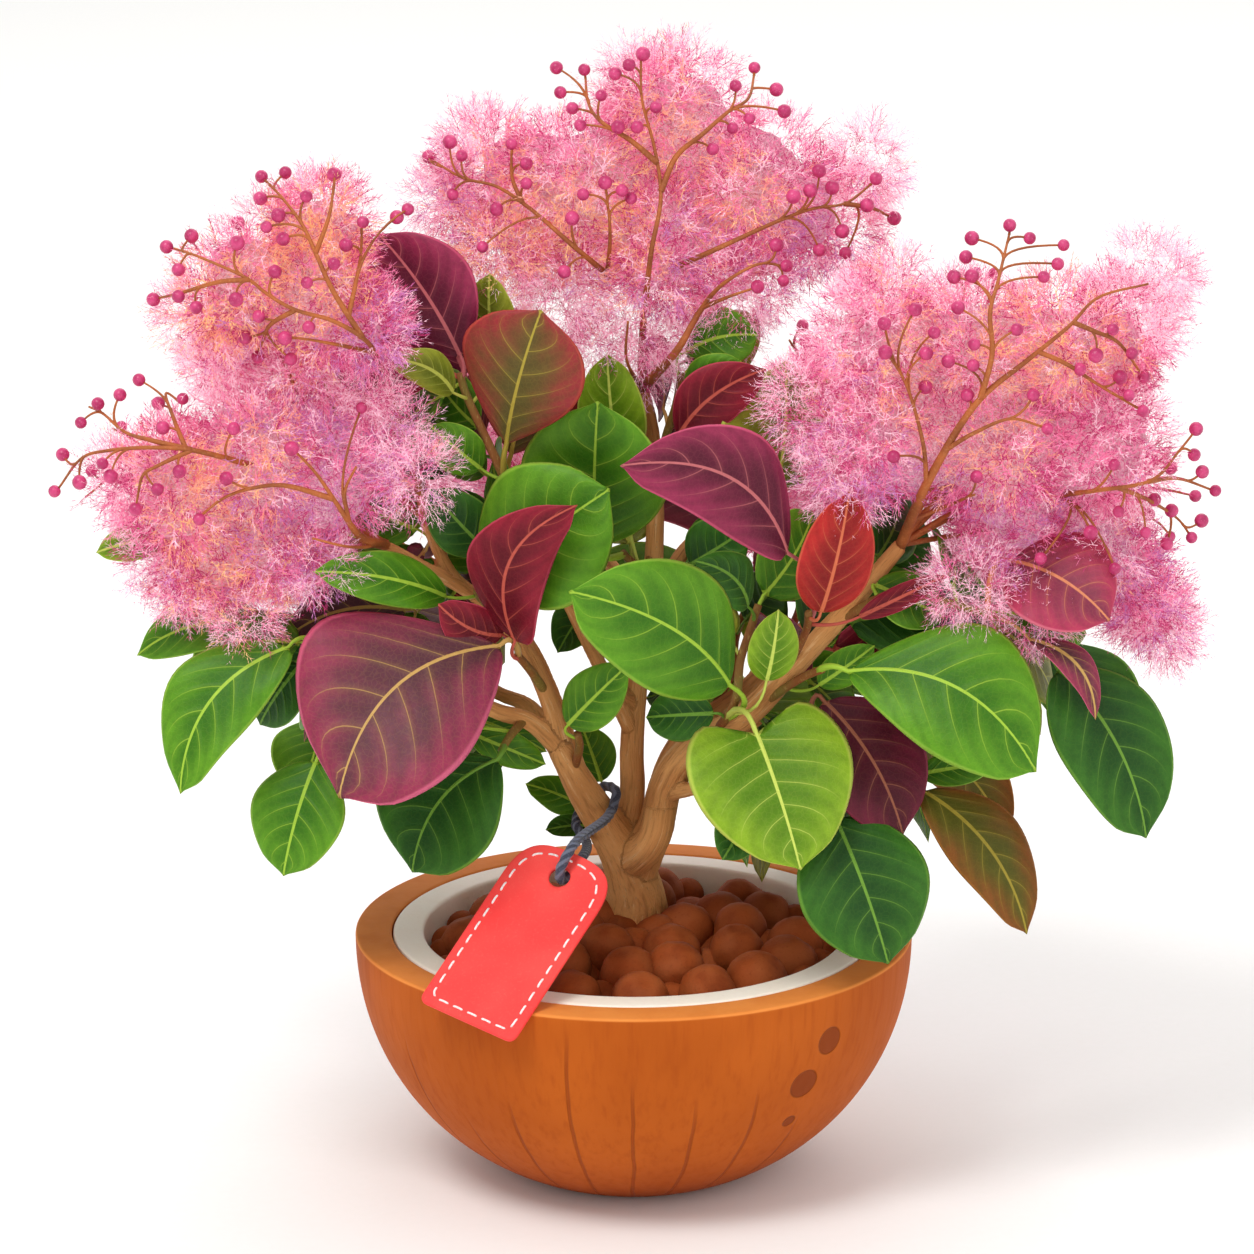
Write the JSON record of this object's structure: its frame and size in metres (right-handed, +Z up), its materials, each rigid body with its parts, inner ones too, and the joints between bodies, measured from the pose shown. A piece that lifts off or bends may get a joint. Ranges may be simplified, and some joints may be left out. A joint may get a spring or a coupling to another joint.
{
  "type": "potted smoke bush",
  "caption": "Young smoke bush with round leaves in green, plum and crimson and pink smoke plumes, growing in a half coconut filled with clay pellets, with a blank tag.",
  "frame": {"origin": "the middle of the pot's flat underside", "axes": "+Z up, -Y towards the viewer of the picture, +X to the viewer's right"},
  "size_m": [0.277, 0.1965, 0.285],
  "materials": {
    "husk": "smooth brushed coconut husk, orange-brown with darker meridian lines",
    "flesh": "cream-white dried coconut flesh",
    "clay_pellets": "matt dark red-brown baked clay",
    "bark": "brown bark with long paler streaks",
    "leaves": "satin leaves in green, lime, plum, crimson, red and olive with yellow-green veins",
    "smoke_plumes": "fine pink hairs with peach lights and violet shadows",
    "card": "red card with a white stitched line",
    "cord": "dark blue-grey round cord"
  },
  "bodies": {
    "root": {"pot_husk": "husk", "pot_flesh": "flesh", "soil": "clay_pellets", "trunk": "bark", "bough_back_left": "bark", "bough_back_right": "bark", "bough_centre": "bark", "bough_centre_left": "bark", "bough_left": "bark", "bough_left_outer": "bark", "bough_left_upper": "bark", "bough_right": "bark", "bough_right_low": "bark", "far_bough_centre_left": "bark", "far_bough_left": "bark", "far_bough_left_outer": "bark", "far_bough_left_upper": "bark", "far_bough_right": "bark", "far_bough_right_low": "bark", "far_leaves_centre": "leaves", "far_leaves_centre_front": "leaves", "far_leaves_left_front": "leaves", "far_leaves_left_mid": "leaves", "far_leaves_left_outer": "leaves", "far_leaves_left_under": "leaves", "far_leaves_right": "leaves", "far_leaves_right_front": "leaves", "far_leaves_right_low": "leaves", "far_leaves_right_outer": "leaves", "far_leaves_top_right": "leaves", "far_leaves_upper_left": "leaves", "leaves_centre": "leaves", "leaves_centre_front": "leaves", "leaves_fork": "leaves", "leaves_left_front": "leaves", "leaves_left_mid": "leaves", "leaves_left_outer": "leaves", "leaves_left_under": "leaves", "leaves_low": "leaves", "leaves_right": "leaves", "leaves_right_front": "leaves", "leaves_right_low": "leaves", "leaves_right_outer": "leaves", "leaves_top_right": "leaves", "leaves_upper_left": "leaves", "far_plume_left_high": "smoke_plumes", "far_plume_left_low": "smoke_plumes", "far_plume_right": "smoke_plumes", "plume_back_left": "smoke_plumes", "plume_back_right": "smoke_plumes", "plume_left_high": "smoke_plumes", "plume_left_low": "smoke_plumes", "plume_right": "smoke_plumes", "plume_top": "smoke_plumes", "tag": "card", "tag_cord": "cord"}
  },
  "joints": []
}
